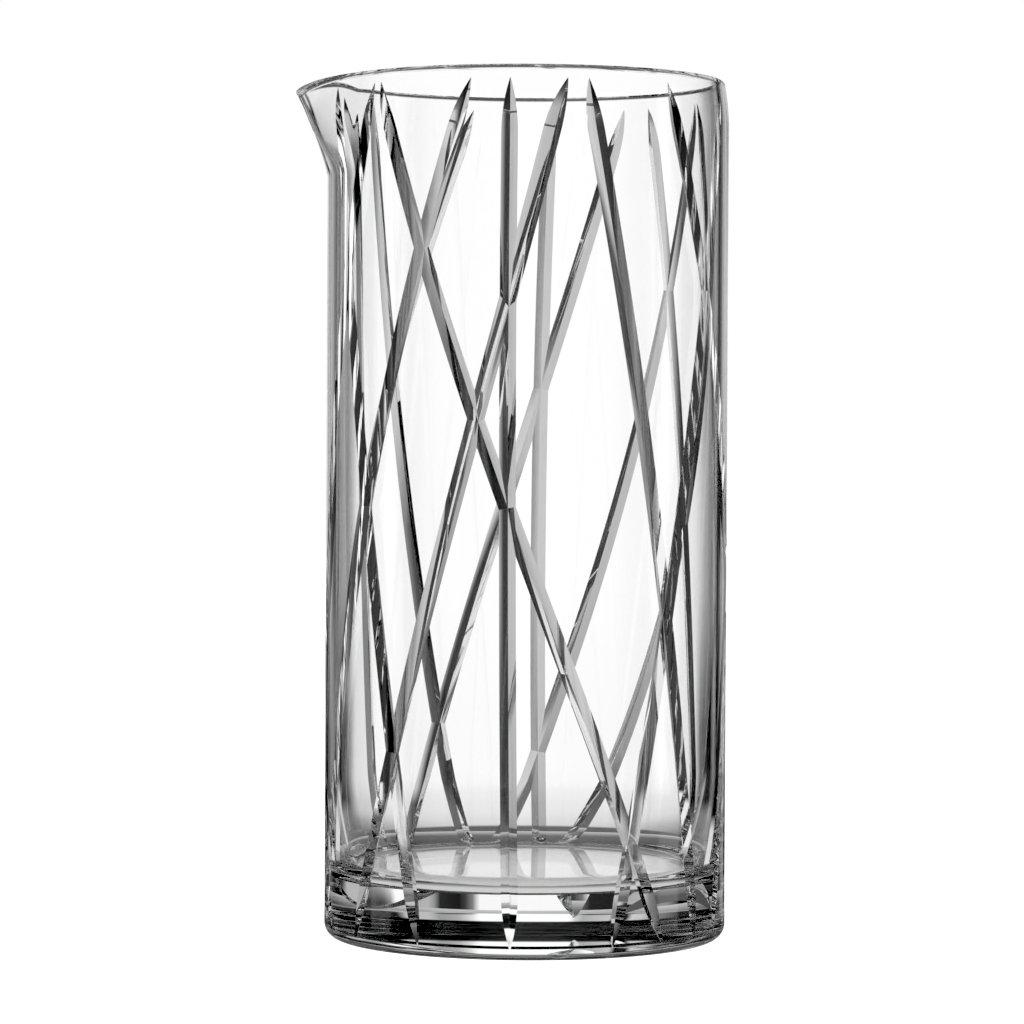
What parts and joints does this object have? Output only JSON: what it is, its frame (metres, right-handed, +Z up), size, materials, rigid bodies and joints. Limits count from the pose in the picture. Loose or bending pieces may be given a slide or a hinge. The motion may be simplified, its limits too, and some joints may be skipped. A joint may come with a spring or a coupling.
{
  "type": "mixing glass",
  "caption": "Tall straight-sided cut crystal mixing glass, open at the top, with a small pulled pouring lip, a thick base and long crossing V-shaped cuts.",
  "frame": {"origin": "centre of the flat underside, on the axis of the glass", "axes": "+Z up along the axis of the glass, out of its mouth; the pouring lip points to -X; -Y is the front"},
  "size_m": [0.0903, 0.0834, 0.178],
  "materials": {
    "crystal": "clear cut crystal, fire-polished rim, polished cuts"
  },
  "bodies": {
    "root": {"glass_body": "crystal"}
  },
  "joints": []
}
